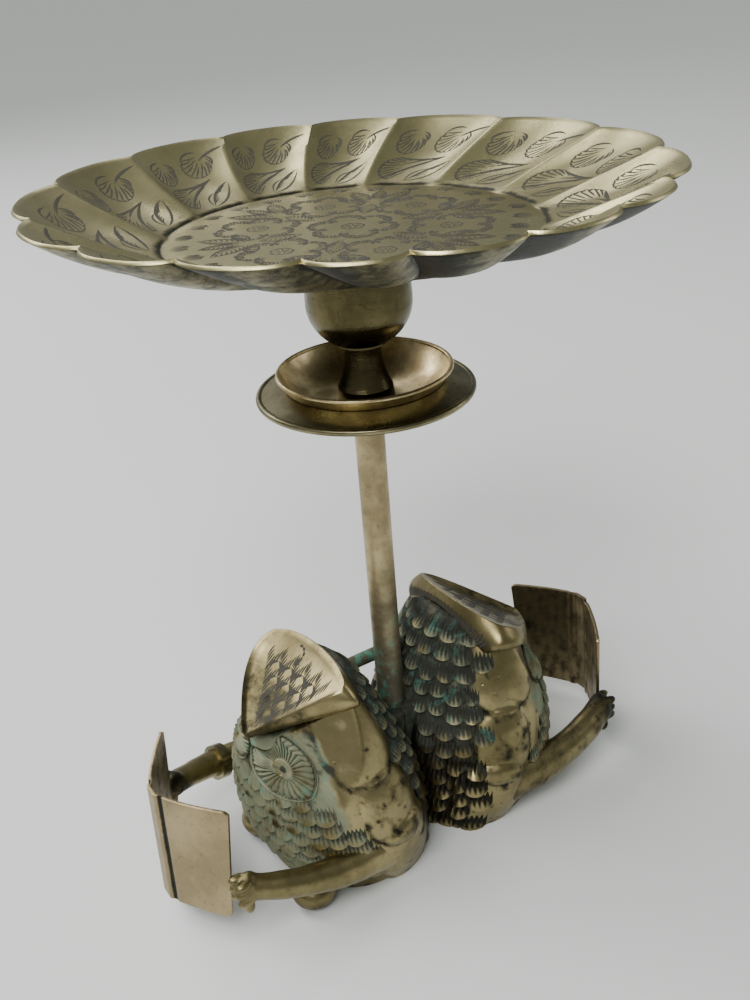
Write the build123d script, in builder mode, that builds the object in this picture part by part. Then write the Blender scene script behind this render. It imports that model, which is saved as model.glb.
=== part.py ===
"""Brass tray lamp: a swirled tray on a stem that rises between two seated owls, each reading a book."""
import os
from math import atan2, cos, degrees, hypot, radians, sin

from build123d import *

os.makedirs("parts", exist_ok=True)

# ---- Driving dimensions, in millimetres and degrees ------------------------------------------

# Owl castings. Each row is a height, then the oval section there: middle, half depth, half width.
# Depths are measured from the joint between the two owls, forwards to the owl's breast.
owl_sections = [
    (0.0, 36.5, 36.5, 41.0),
    (12.0, 37.0, 38.5, 45.0),
    (30.0, 37.5, 38.5, 47.0),
    (46.0, 38.0, 36.5, 45.0),
    (58.0, 39.5, 33.0, 41.0),
    (72.0, 41.5, 29.0, 36.0),
    (86.0, 44.0, 23.5, 30.0),
]
owl_wall = 3.5
cavity_rows = 6              # the hollow ends at the height of this row of the table
beak_depth = 72.0
beak_height = 73.5
ear_depth = 36.5
ear_height = 97.3
ear_half_span = 30.5
crown_bulge = 3.5
crown_thickness = 13.0
crown_taper = 12              # degrees that the sides of the crown lean in
toe_radius = 8.0
toe_depth = 67.0
toe_half_span = 34.0

# Web that both castings carry at the joint, and the socket for the stem in it
web_depth = 11.0
web_half_width = 11.0
nut_recess = 13.0            # depth of the counterbore under the web
socket_floor = 46.0
web_top = 56.0

# Stem tube and the tie rod that clamps the whole stack
stem_radius = 6.0
stem_wall = 1.2
stem_length = 155.5
rod_radius = 3.0
rod_below_nut = 2.0
rod_in_knop = 12.0
nut_across_flats = 10.0
nut_height = 5.0
washer_radius = 7.0
washer_thickness = 2.0

# Drip plate: a spun bowl nested in a wider skirted flange
sheet = 1.2
hub_radius = 12.0
bowl_rim_radius = 33.0
bowl_depth = 12.5
bowl_bead = 0.9
flange_radius = 42.8
flange_drop = 3.2
flange_edge = 1.3
flange_reach = 50.0          # angle up the bowl's curve at which the flange turns outwards

# Trumpet-shaped neck and tulip-shaped knop
neck_height = 22.7
neck_waist_radius = 7.1
neck_flare_share = 0.22       # share of the flare that is left at the middle of its curve
neck_flare_drop = 4.0         # how far that place lies under the waist
neck_bell_radius = 10.7
neck_foot_radius = 11.3
neck_foot_height = 5.5
knop_ring_radius = 9.5
knop_ring_height = 1.2
knop_base_radius = 10.8
knop_radius = 20.2
knop_belly_height = 15.5
knop_height = 40.9
knop_mouth_radius = 17.2
knop_wall = 3.0
knop_side_flat = 0.75         # how far the side has drawn in half way up
knop_base_thickness = 14.0
knop_swell_share = 0.45       # height of the base's fullest curve, as a share of the belly's
cap_thickness = 12.0

# Screw that carries the tray, with the washer under its flange
stud_radius = 5.0
stud_length = 12.0
stud_flange_thickness = 2.0
fibre_thickness = 1.0

# Tray: pressed sheet, a flat floor and swirled flutes that rise to a scalloped rim
tray_sheet = 1.4
tray_depth = 22.2
lobe_count = 16
rim_valley_radius = 110.0
rim_lobe_height = 6.5
floor_valley_radius = 68.0
floor_lobe_height = 2.0
flute_sag = 3.5
swirl = 7.5
tray_turn = -1.2             # direction of one valley of the rim, from +X
tray_skin_lift = 1.7         # height between the lower and the upper skin of the flutes

# Books: one sheet of brass folded at both edges of the spine
book_sheet = 1.4
book_spine_depth = 116.5
book_spine_width = 6.0
book_cover_length = 34.0
book_height = 56.0
book_bottom = 8.5
book_lifts = {-1: 4.0, 1: -1.0}   # how much higher each book is held: left owl, right owl
book_half_angle = 57.0
book_lean = -2.0            # towards the owl when negative

# Arms: a tapering bar from the wing to the hand that grips the cover of the book
arm_root = (34.0, -42.0, 22.0)
arm_middle = (62.0, -47.0, 23.0)
arm_root_radius = 8.0
arm_wrist_radius = 5.0
hand_radius = 7.0
hand_height = 32.0
hand_overlap = 2.5
cuff_width = 5.0
cuff_thickness = 1.8
cuff_place = 0.55
# How much higher than hand_height each arm ends: owner, place, direction of owl, direction of hand
arms = [
    ("left", "near", -1, -1, 0.0),
    ("left", "far", -1, 1, 3.0),
    ("right", "near", 1, -1, -4.0),
    ("right", "far", 1, 1, -1.0),
]

# Bar behind the stem that ties the two backs together
bridge_radius = 3.0
bridge_height = 75.0
bridge_offset = 12.0
bridge_reach = 22.0

# Clearances
thread_clearance = 0.05      # radial, between a plain thread and its bore
hole_clearance = 0.3         # radial, round the tie rod
recess_clearance = 0.6       # radial, round the washer in its counterbore
socket_clearance = 0.05      # radial, round the stem in its socket
nest_clearance = 0.3         # between the bowl and the flange under it
lid_clearance = 0.3          # between the knop's mouth and what sits in or over it
flange_clearance = 1.7       # radial, round the screw's flange and washer in the knop's mouth

# ---- Heights that follow from the stack ------------------------------------------------------

flange_bottom = socket_floor + stem_length
bowl_bottom = flange_bottom + sheet
neck_bottom = bowl_bottom + sheet
knop_bottom = neck_bottom + neck_height
knop_top = knop_bottom + knop_height
tray_underside = knop_top + lid_clearance
stud_flange_bottom = tray_underside - stud_flange_thickness
cap_top = stud_flange_bottom - fibre_thickness
tray_rim = tray_underside + tray_depth
rod_bottom = nut_recess - washer_thickness - nut_height - rod_below_nut
rod_top = knop_bottom + rod_in_knop
rod_hole_radius = rod_radius + hole_clearance
rod_thread_radius = rod_radius + thread_clearance


def finish(builder, label):
    """Name a finished piece and write it to its own STEP file."""
    builder.part.label = label
    export_step(builder.part, f"parts/{label}.step")


def ring(outer, inner, bottom, height):
    """A plain ring standing on the height bottom, centred on the stem."""
    with BuildPart() as piece:
        with BuildSketch(Plane.XY.offset(bottom)):
            Circle(outer)
            Circle(inner, mode=Mode.SUBTRACT)
        extrude(amount=height)
    return piece


# ---- Owls ------------------------------------------------------------------------------------

crown_slope = degrees(atan2(ear_height - beak_height, beak_depth - ear_depth))
crown_length = hypot(ear_height - beak_height, beak_depth - ear_depth)


def crown_plane(side):
    """Plane of the flat crown: origin at the beak, local x running back towards the ears."""
    slope = radians(crown_slope)
    return Plane(
        origin=(side * beak_depth, 0, beak_height),
        x_dir=(-side * cos(slope), 0, sin(slope)),
        z_dir=(side * sin(slope), 0, cos(slope)),
    )


def owl_oval(side, inset=0.0, rows=len(owl_sections)):
    """The oval body of one owl, drawn in by inset all round, over the first rows of the table."""
    with BuildPart() as body:
        for height, middle, half_depth, half_width in owl_sections[:rows]:
            with BuildSketch(Plane.XY.offset(height)):
                with Locations((side * middle, 0)):
                    Ellipse(half_depth - inset, half_width - inset)
        loft()
    return body.part


def owl_form(side):
    """The outside of one owl: body, flat crown with its brow, and the two toes."""
    with BuildPart() as form:
        add(owl_oval(side))
        split(bisect_by=crown_plane(side), keep=Keep.BOTTOM)
        with BuildSketch(crown_plane(side)):
            with BuildLine():
                back = Line((crown_length, -ear_half_span), (crown_length, ear_half_span))
                near = (crown_length / 2, -ear_half_span / 2 - crown_bulge)
                far = (crown_length / 2, ear_half_span / 2 + crown_bulge)
                ThreePointArc((0, 0), near, back @ 0)
                ThreePointArc(back @ 1, far, (0, 0))
            make_face()
        extrude(amount=-crown_thickness, taper=crown_taper)
        with Locations(
            (side * toe_depth, -toe_half_span, toe_radius),
            (side * toe_depth, toe_half_span, toe_radius),
        ):
            Sphere(toe_radius)
        split(bisect_by=Plane.YZ, keep=Keep.TOP if side > 0 else Keep.BOTTOM)
    return form.part


def owl_casting(side):
    """One hollow owl, open underneath, with half of the web and half of the stem's socket."""
    web_middle = side * web_depth / 2
    with BuildPart() as casting:
        add(owl_form(side))
        add(owl_oval(side, owl_wall, cavity_rows), mode=Mode.SUBTRACT)
        with BuildSketch():
            with Locations((web_middle, 0)):
                Rectangle(web_depth, 2 * web_half_width)
        extrude(amount=web_top)
        with BuildSketch(Plane.XY.offset(socket_floor)):
            Circle(stem_radius + socket_clearance)
        extrude(amount=ear_height, mode=Mode.SUBTRACT)
        with BuildSketch():
            Circle(rod_hole_radius)
        extrude(amount=web_top, mode=Mode.SUBTRACT)
        with BuildSketch():
            Circle(washer_radius + recess_clearance)
        extrude(amount=nut_recess, mode=Mode.SUBTRACT)
    return casting


# ---- Books -----------------------------------------------------------------------------------

cover_run = book_cover_length * cos(radians(book_half_angle))
cover_spread = book_cover_length * sin(radians(book_half_angle))
cover_tip_depth = book_spine_depth - cover_run
cover_tip_span = book_spine_width / 2 + cover_spread


def book_plane(side):
    """Plane across the foot of the book, leaning its top away from the owl."""
    lean = radians(book_lean)
    return Plane(
        origin=(side * book_spine_depth, 0, book_bottom + book_lifts[side]),
        x_dir=(side * cos(lean), 0, -sin(lean)),
        z_dir=(side * sin(lean), 0, cos(lean)),
    )


def book(side):
    """An open book: a narrow spine and two covers that swing back towards the owl."""
    half_spine = book_spine_width / 2
    half_sheet = book_sheet / 2
    with BuildPart() as piece:
        with BuildSketch(book_plane(side)):
            with BuildLine():
                sheet_line = Polyline(
                    (-cover_run, -half_spine - cover_spread),
                    (0, -half_spine),
                    (0, half_spine),
                    (-cover_run, half_spine + cover_spread),
                )
                offset(sheet_line, amount=half_sheet, side=Side.BOTH, kind=Kind.INTERSECTION)
            make_face()
        extrude(amount=book_height)
    return piece


# ---- Arms ------------------------------------------------------------------------------------

# All arms are made for the near side of the owl that faces +X, then mirrored to their places.


def arm_path(lift):
    """Centre line of an arm, from inside the wing to the hand at the edge of the cover."""
    half_angle = radians(book_half_angle)
    reach = hand_radius - hand_overlap
    wrist = book_plane(1).from_local_coords(
        (
            -cover_run - reach * cos(half_angle),
            -book_spine_width / 2 - cover_spread - reach * sin(half_angle),
            hand_height + lift - book_bottom - book_lifts[1],
        )
    )
    middle = Vector(arm_middle) + Vector(0, 0, lift / 2)
    return ThreePointArc(Vector(arm_root), middle, wrist)


def arm_radius(place):
    """Radius of the arm at a place between 0, the root, and 1, the wrist."""
    return arm_root_radius + place * (arm_wrist_radius - arm_root_radius)


def arm_bar(lift):
    """An arm with its hand, cut to fit against the owl and round the edge of the book."""
    path = arm_path(lift)
    with BuildPart() as bar:
        for place in (0.0, 0.5, 1.0):
            with BuildSketch(Plane(origin=path @ place, z_dir=path % place)):
                Circle(arm_radius(place))
        loft()
        with Locations(path @ 1):
            Sphere(hand_radius)
        add(owl_oval(1), mode=Mode.SUBTRACT)
        add(book(1).part, mode=Mode.SUBTRACT)
    return bar.part


def cuff_ring(lift, place):
    """A collar bound round an arm at a place along it."""
    path = arm_path(lift)
    half = cuff_width / 2 / path.length
    with BuildPart() as collar:
        with BuildSketch(Plane(origin=path @ (place - half), z_dir=path % place)):
            Circle(arm_radius(place) + cuff_thickness)
        extrude(amount=cuff_width)
        add(arm_bar(lift), mode=Mode.SUBTRACT)
        add(owl_oval(1), mode=Mode.SUBTRACT)
    return collar.part


def to_place(shape, side, hand):
    """Mirror a near right shape: side is -1 for the left owl, hand is 1 for its far side."""
    with BuildPart() as placed:
        if side < 0:
            shape = shape.mirror(Plane.YZ)
        if hand > 0:
            shape = shape.mirror(Plane.XZ)
        add(shape)
    return placed


# ---- Tray ------------------------------------------------------------------------------------


def scallop(valley_radius, lobe_height, turn):
    """Closed outline of equal lobes whose valleys lie on one circle, turned about the stem."""
    step = 360 / lobe_count
    with BuildLine() as outline:
        for lobe in range(lobe_count):
            start = turn + lobe * step
            ThreePointArc(
                Vector(valley_radius, 0).rotate(Axis.Z, start),
                Vector(valley_radius + lobe_height, 0).rotate(Axis.Z, start + step / 2),
                Vector(valley_radius, 0).rotate(Axis.Z, start + step),
            )
    return outline.line


def tray_form(lift):
    """The space inside the tray's skin: the lower skin, or with a lift the upper one."""
    middle_radius = (floor_valley_radius + rim_valley_radius) / 2
    middle_lobe = (floor_lobe_height + rim_lobe_height) / 2
    levels = [
        (0.0, floor_valley_radius, floor_lobe_height, tray_turn + swirl),
        (tray_depth / 2 - flute_sag, middle_radius, middle_lobe, tray_turn + swirl / 2),
        (tray_depth, rim_valley_radius, rim_lobe_height, tray_turn),
    ]
    with BuildPart() as form:
        for rise, valley, lobe, turn in levels:
            with BuildSketch(Plane.XY.offset(tray_underside + rise + lift)):
                add(scallop(valley, lobe, turn))
                make_face()
        loft(ruled=True)
    return form.part


# ---- Base pieces -----------------------------------------------------------------------------

left_owl_body = owl_casting(-1)
finish(left_owl_body, "left_owl_body")

right_owl_body = owl_casting(1)
finish(right_owl_body, "right_owl_body")

finish(book(-1), "left_book")
finish(book(1), "right_book")

for owner, place, side, hand, lift in arms:
    finish(to_place(arm_bar(lift), side, hand), f"{owner}_{place}_arm")

cuffed_lift = arms[1][4]
finish(to_place(cuff_ring(cuffed_lift, cuff_place), -1, 1), "arm_cuff")

with BuildPart() as bridge_bar:
    with BuildSketch(Plane(origin=(-bridge_reach, bridge_offset, bridge_height), z_dir=(1, 0, 0))):
        Circle(bridge_radius)
    extrude(amount=2 * bridge_reach)
    add(owl_form(-1), mode=Mode.SUBTRACT)
    add(owl_form(1), mode=Mode.SUBTRACT)
finish(bridge_bar, "bridge_bar")

base_washer = ring(washer_radius, rod_hole_radius, nut_recess - washer_thickness, washer_thickness)
finish(base_washer, "base_washer")

with BuildPart() as base_nut:
    with BuildSketch(Plane.XY.offset(nut_recess - washer_thickness - nut_height)):
        RegularPolygon(nut_across_flats / 2, 6, major_radius=False)
        Circle(rod_thread_radius, mode=Mode.SUBTRACT)
    extrude(amount=nut_height)
finish(base_nut, "base_nut")

# ---- Stem and drip plate ---------------------------------------------------------------------

stem_tube = ring(stem_radius, stem_radius - stem_wall, socket_floor, stem_length)
finish(stem_tube, "stem_tube")

with BuildPart() as tie_rod:
    with BuildSketch(Plane.XY.offset(rod_bottom)):
        Circle(rod_radius)
    extrude(amount=rod_top - rod_bottom)
finish(tie_rod, "tie_rod")

# Both plates follow one circle whose centre stands over the edge of the hub
bowl_curve = ((bowl_rim_radius - hub_radius) ** 2 + bowl_depth**2) / (2 * bowl_depth)
curve_height = neck_bottom + bowl_curve
bowl_end = degrees(atan2(bowl_rim_radius - hub_radius, bowl_curve - bowl_depth))


def on_curve(radius, angle):
    """A point in the section of the plates: radius from the curve's centre, angle up from the hub."""
    return (hub_radius + radius * sin(radians(angle)), curve_height - radius * cos(radians(angle)))


def curve_arc(radius, start, end):
    """An arc of the plates' section between two angles."""
    return ThreePointArc(
        on_curve(radius, start), on_curve(radius, (start + end) / 2), on_curve(radius, end)
    )


with BuildPart() as drip_dish:
    with BuildSketch(Plane.XZ):
        with BuildLine():
            inside = curve_arc(bowl_curve, 0, bowl_end)
            outside = curve_arc(bowl_curve + sheet, bowl_end, 0)
            Line(inside @ 1, outside @ 0)
            Polyline(
                outside @ 1,
                (rod_hole_radius, bowl_bottom),
                (rod_hole_radius, neck_bottom),
                inside @ 0,
            )
        make_face()
        with Locations(on_curve(bowl_curve + sheet / 2, bowl_end)):
            Circle(bowl_bead)
    revolve(axis=Axis.Z)
finish(drip_dish, "drip_dish")

with BuildPart() as drip_flange:
    nest = bowl_curve + sheet + nest_clearance
    with BuildSketch(Plane.XZ):
        with BuildLine():
            inside = curve_arc(nest, 0, flange_reach)
            outside = curve_arc(nest + sheet, flange_reach, 0)
            lip = (flange_radius - flange_edge, (inside @ 1).Y - flange_drop)
            under_lip = (lip[0], lip[1] - sheet)
            Polyline(inside @ 1, lip, under_lip, outside @ 0)
            Polyline(
                outside @ 1,
                (hub_radius, flange_bottom),
                (rod_hole_radius, flange_bottom),
                (rod_hole_radius, bowl_bottom),
                (hub_radius, bowl_bottom),
                inside @ 0,
            )
        make_face()
        with Locations((lip[0], lip[1] - sheet / 2)):
            Circle(flange_edge)
    revolve(axis=Axis.Z)
finish(drip_flange, "drip_flange")

# ---- Neck, knop and the tray's fixing --------------------------------------------------------

neck_top = knop_bottom
neck_shoulder = neck_bottom + neck_foot_height
neck_waist = (neck_top + neck_shoulder) / 2 + neck_foot_height / 2
neck_flare_radius = neck_waist_radius + (neck_bell_radius - neck_waist_radius) * neck_flare_share

with BuildPart() as trumpet_neck:
    with BuildSketch(Plane.XZ):
        with BuildLine():
            flare = ThreePointArc(
                (neck_bell_radius, neck_shoulder),
                (neck_flare_radius, neck_waist - neck_flare_drop),
                (neck_waist_radius, neck_top),
            )
            Polyline(
                flare @ 1,
                (rod_hole_radius, neck_top),
                (rod_hole_radius, neck_bottom),
                (neck_foot_radius, neck_bottom),
                flare @ 0,
            )
        make_face()
    revolve(axis=Axis.Z)
finish(trumpet_neck, "trumpet_neck")

knop_belly = knop_bottom + knop_belly_height
knop_floor = knop_bottom + knop_base_thickness
knop_hollow_radius = knop_mouth_radius - knop_wall
stud_flange_radius = knop_hollow_radius - flange_clearance

with BuildPart() as tulip_knop:
    with BuildSketch(Plane.XZ):
        with BuildLine():
            base = ThreePointArc(
                (knop_base_radius, knop_bottom + knop_ring_height),
                (knop_radius - knop_wall, knop_bottom + knop_belly_height * knop_swell_share),
                (knop_radius, knop_belly),
            )
            side_wall = ThreePointArc(
                base @ 1,
                (knop_radius - knop_side_flat, (knop_belly + knop_top) / 2),
                (knop_mouth_radius, knop_top),
            )
            Polyline(
                side_wall @ 1,
                (knop_hollow_radius, knop_top),
                (knop_hollow_radius, knop_floor),
                (rod_thread_radius, knop_floor),
                (rod_thread_radius, knop_bottom),
                (knop_ring_radius, knop_bottom),
                (knop_ring_radius, knop_bottom + knop_ring_height),
                base @ 0,
            )
        make_face()
    revolve(axis=Axis.Z)
finish(tulip_knop, "tulip_knop")

cap_radius = knop_hollow_radius - thread_clearance
knop_cap = ring(cap_radius, stud_radius + thread_clearance, cap_top - cap_thickness, cap_thickness)
finish(knop_cap, "knop_cap")

tray_washer = ring(stud_flange_radius, stud_radius + hole_clearance, cap_top, fibre_thickness)
finish(tray_washer, "tray_washer")

with BuildPart() as tray_stud:
    with BuildSketch(Plane.XY.offset(stud_flange_bottom)):
        Circle(stud_flange_radius)
    extrude(amount=stud_flange_thickness)
    with BuildSketch(Plane.XY.offset(stud_flange_bottom)):
        Circle(stud_radius)
    extrude(amount=-stud_length)
finish(tray_stud, "tray_stud")

with BuildPart() as tray:
    add(tray_form(0))
    add(tray_form(tray_skin_lift), mode=Mode.SUBTRACT)
finish(tray, "tray")
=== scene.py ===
# %% [markdown]
# A brass tray lamp, modelled around its imported CAD frame. The frame gives every size and place, so this
# file only adds what a turner, a chaser and a founder would add: fluted sheet, engraving, feathers and
# the finish of old brass. The first cell loads the frame.

# %% Load the frame
from math import atan2, cos, degrees, exp, hypot, pi, radians, sin, sqrt, tan

import bpy
from mathutils import Matrix, Vector, noise


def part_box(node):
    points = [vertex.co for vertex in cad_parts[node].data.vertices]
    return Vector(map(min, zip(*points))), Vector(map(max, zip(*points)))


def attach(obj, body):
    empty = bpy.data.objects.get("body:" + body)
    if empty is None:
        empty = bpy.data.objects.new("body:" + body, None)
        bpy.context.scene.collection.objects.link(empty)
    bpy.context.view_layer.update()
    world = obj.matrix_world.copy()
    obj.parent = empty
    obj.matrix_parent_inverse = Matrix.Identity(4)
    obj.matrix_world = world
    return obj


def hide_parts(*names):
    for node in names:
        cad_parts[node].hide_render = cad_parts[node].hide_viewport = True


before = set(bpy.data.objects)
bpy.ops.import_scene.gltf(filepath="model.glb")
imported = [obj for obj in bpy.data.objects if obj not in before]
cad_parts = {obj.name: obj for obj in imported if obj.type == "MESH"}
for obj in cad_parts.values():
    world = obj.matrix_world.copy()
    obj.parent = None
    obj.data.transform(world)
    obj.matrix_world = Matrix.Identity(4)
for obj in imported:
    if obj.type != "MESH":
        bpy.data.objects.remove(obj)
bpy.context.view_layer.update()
bpy.ops.object.select_all(action="DESELECT")
MM = 0.001
rim_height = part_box("tray")[1][2]


# %% [markdown]
# Three places in the frame are used again and again: the axis of the stem, the top of the tray and the
# joint between the owls. A small helper reads the middle and the half size of any piece in millimetres.

# %% Read a piece's place
def place(node):
    """The middle of a CAD piece and half its size, in millimetres."""
    low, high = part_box(node)
    middle = [(a + b) / 2 / MM for a, b in zip(low, high)]
    half = [(b - a) / 2 / MM for a, b in zip(low, high)]
    return middle, half


for node in ("tray", "drip_flange", "stem_tube", "left_owl_body"):
    middle, half = place(node)
    print(node, "middle", [round(v, 1) for v in middle], "half", [round(v, 1) for v in half])


# %% [markdown]
# The lamp is looked at from a little above its tray and from the left owl's side. The camera stands 398 mm
# from the stem, 78 mm over the rim, and is rolled by under five degrees, because the real lamp leans.
# A camera's three directions are worked out and written into its matrix, which says more than three
# angles would.

# %% Camera
view_azimuth = radians(31.5)        # how far the owls' line is turned from the picture
view_distance = 397.7 * MM
view_rise = 77.9 * MM
pitch = 0.4845
roll = -0.081
focal_length = 39.6

sideways = Vector((cos(view_azimuth), -sin(view_azimuth), 0))
onwards = Vector((sin(view_azimuth), cos(view_azimuth), 0))
upwards = Vector((0, 0, 1))
looking = onwards * cos(pitch) - upwards * sin(pitch)
level_up = upwards * cos(pitch) + onwards * sin(pitch)
right = sideways * cos(roll) + level_up * sin(roll)
up = level_up * cos(roll) - sideways * sin(roll)

camera_data = bpy.data.cameras.new("camera")
camera_data.lens = focal_length
camera_data.sensor_width = 36
camera = bpy.data.objects.new("camera", camera_data)
bpy.context.scene.collection.objects.link(camera)
eye = -onwards * view_distance + upwards * (rim_height + view_rise)
camera.matrix_world = Matrix(
    (
        (right.x, up.x, -looking.x, eye.x),
        (right.y, up.y, -looking.y, eye.y),
        (right.z, up.z, -looking.z, eye.z),
        (0, 0, 0, 1),
    )
)
bpy.context.scene.camera = camera
print("camera at", [round(v / MM) for v in eye], "mm")


# %% [markdown]
# Polished metal shows the room more than it shows itself. So the room is a plain pale floor with a strong
# soft lamp over the left shoulder, a weak one to the right, two more behind the lamp for its bright
# rims, a very soft sun for the daylight, and an even grey sky, which gives the brass its dark bands.

# %% Floor and light
bpy.ops.mesh.primitive_plane_add(size=24, location=(0, 0, 0))
ground = bpy.context.object
ground.name = "floor"


def soft_lamp(name, place_m, target, size, power):
    """A square soft lamp at a place, turned to face a target."""
    data = bpy.data.lights.new(name, "AREA")
    data.size = size
    data.energy = power
    lamp = bpy.data.objects.new(name, data)
    bpy.context.scene.collection.objects.link(lamp)
    lamp.location = place_m
    lamp.rotation_euler = (Vector(target) - Vector(place_m)).to_track_quat("-Z", "Y").to_euler()
    return lamp


lamps = [                           # name, place, target, size, power
    ("main_light", (-0.9, -0.7, 1.5), (0, 0, 0.15), 0.9, 30),
    ("side_light", (1.3, -0.5, 0.7), (0, 0, 0.15), 0.6, 2),
    ("back_light", (-0.45, 1.45, 1.25), (0, 0, 0.1), 1.3, 22),
    ("far_light", (0.45, 1.4, 1.35), (0, 0, 0.25), 0.6, 2.5),
]
for lamp in lamps:
    soft_lamp(*lamp)
daylight = bpy.data.lights.new("daylight", "SUN")
daylight.energy = 1.5
daylight.angle = radians(35)
daylight_lamp = bpy.data.objects.new("daylight", daylight)
bpy.context.scene.collection.objects.link(daylight_lamp)
daylight_lamp.rotation_euler = (radians(-18), radians(-24), 0)
sky = bpy.data.worlds.new("pale_room")
sky.use_nodes = True
sky_light = sky.node_tree.nodes["Background"]
sky_light.inputs["Color"].default_value = (0.50, 0.53, 0.50, 1)
sky_light.inputs["Strength"].default_value = 0.5
bpy.context.scene.world = sky
pale_floor = bpy.data.materials.new("pale_floor")
pale_floor.use_nodes = True
floor_shader = pale_floor.node_tree.nodes["Principled BSDF"]
floor_shader.inputs["Base Color"].default_value = (0.66, 0.68, 0.66, 1)
floor_shader.inputs["Roughness"].default_value = 0.7
ground.data.materials.append(pale_floor)


# %% [markdown]
# Finishes are written as sums. A node's output is wrapped in a small class whose plus, minus, times and
# divide add Math nodes, so a mask reads as it would on paper. Every other node comes from one method.

# %% Shader arithmetic
class Output:
    """One output of a shader node that can be used in sums."""

    def __init__(self, finish, socket):
        self.finish = finish
        self.socket = socket

    def math(self, operation, first, second=0.0):
        return self.finish.node("ShaderNodeMath", {"operation": operation}, {0: first, 1: second})

    def __add__(self, other):
        return self.math("ADD", self, other)

    def __sub__(self, other):
        return self.math("SUBTRACT", self, other)

    def __rsub__(self, other):
        return self.math("SUBTRACT", other, self)

    def __mul__(self, other):
        return self.math("MULTIPLY", self, other)

    def __truediv__(self, other):
        return self.math("DIVIDE", self, other)

    def __pow__(self, other):
        return self.math("POWER", self, other)

    __radd__ = __add__
    __rmul__ = __mul__


class Finish:
    """A material and the nodes that it is made of."""

    def __init__(self, name, **constants):
        self.material = bpy.data.materials.new(name)
        self.material.use_nodes = True
        self.tree = self.material.node_tree
        self.shader = self.tree.nodes["Principled BSDF"]
        for socket, value in constants.items():
            self.shader.inputs[socket.replace("_", " ")].default_value = value

    def node(self, kind, settings=None, sockets=None, output=0):
        """Add a node, set it, join or set its sockets, and give back one of its outputs."""
        made = self.tree.nodes.new(kind)
        for name, value in (settings or {}).items():
            if name == "stops":
                self.set_stops(made, value)
            else:
                setattr(made, name, value)
        for key, value in (sockets or {}).items():
            if isinstance(value, Output):
                self.tree.links.new(value.socket, made.inputs[key])
            else:
                made.inputs[key].default_value = value
        return Output(self, made.outputs[output])

    def set_stops(self, ramp, stops):
        """Give a colour ramp its (place, colour) stops."""
        elements = ramp.color_ramp.elements
        while len(elements) < len(stops):
            elements.new(1.0)
        for element, (position, colour) in zip(elements, stops):
            element.position = position
            element.color = (*colour, 1.0)

    def to_shader(self, socket, value):
        """Join an output to a socket of the shader."""
        self.tree.links.new(value.socket, self.shader.inputs[socket])

    def coordinates(self):
        return self.node("ShaderNodeTexCoord", output="Object")

    def attribute(self, name):
        """A number painted on the mesh's points."""
        return self.node("ShaderNodeAttribute", {"attribute_name": name}, output="Fac")

    def noise(self, scale, detail=3.0, rough=0.55, vector=None):
        """Cloudy noise from 0 to 1; scale is in lumps per metre."""
        place_there = vector or self.coordinates()
        sockets = {"Vector": place_there, "Scale": scale, "Detail": detail, "Roughness": rough}
        return self.node("ShaderNodeTexNoise", None, sockets)

    def step(self, value, low, high, bottom=0.0, top=1.0):
        """Smooth rise from bottom to top as value goes from low to high."""
        sockets = {"Value": value, "From Min": low, "From Max": high, "To Min": bottom, "To Max": top}
        return self.node("ShaderNodeMapRange", {"interpolation_type": "SMOOTHSTEP"}, sockets)

    def blend(self, amount, first, second):
        """A colour between two others."""
        colours = [(*c, 1.0) if isinstance(c, tuple) else c for c in (first, second)]
        sockets = {"Factor": amount, "A": colours[0], "B": colours[1]}
        made = self.tree.nodes.new("ShaderNodeMix")
        made.data_type = "RGBA"
        named = {"Factor": made.inputs[0], "A": made.inputs[6], "B": made.inputs[7]}
        for key, value in sockets.items():
            if isinstance(value, Output):
                self.tree.links.new(value.socket, named[key])
            else:
                named[key].default_value = value
        return Output(self, made.outputs[2])

    def bump(self, height, distance, strength=1.0):
        """Bend the light as if the surface rose by height times distance, in metres."""
        sockets = {"Height": height, "Distance": distance, "Strength": strength}
        self.to_shader("Normal", self.node("ShaderNodeBump", None, sockets))


# %% [markdown]
# Brass that has stood for years is three colours at once: bare yellow metal where it is handled, a brown
# and olive film over most of it, and near black in the corners that polish never reached. A number called
# "grime" is painted on the points of each mesh where its shape makes a corner, a crease or an
# underside: partly soiling and partly painted shade, with painted reflections on the outside of the tray.
# "patina" is painted where green salts have grown. The finish only turns those numbers into colour, so it
# follows the shape everywhere.

# %% Old brass
BLACK = (0.020, 0.019, 0.013)
GREEN = (0.070, 0.235, 0.175)
FILM = (0.150, 0.172, 0.110)


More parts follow.
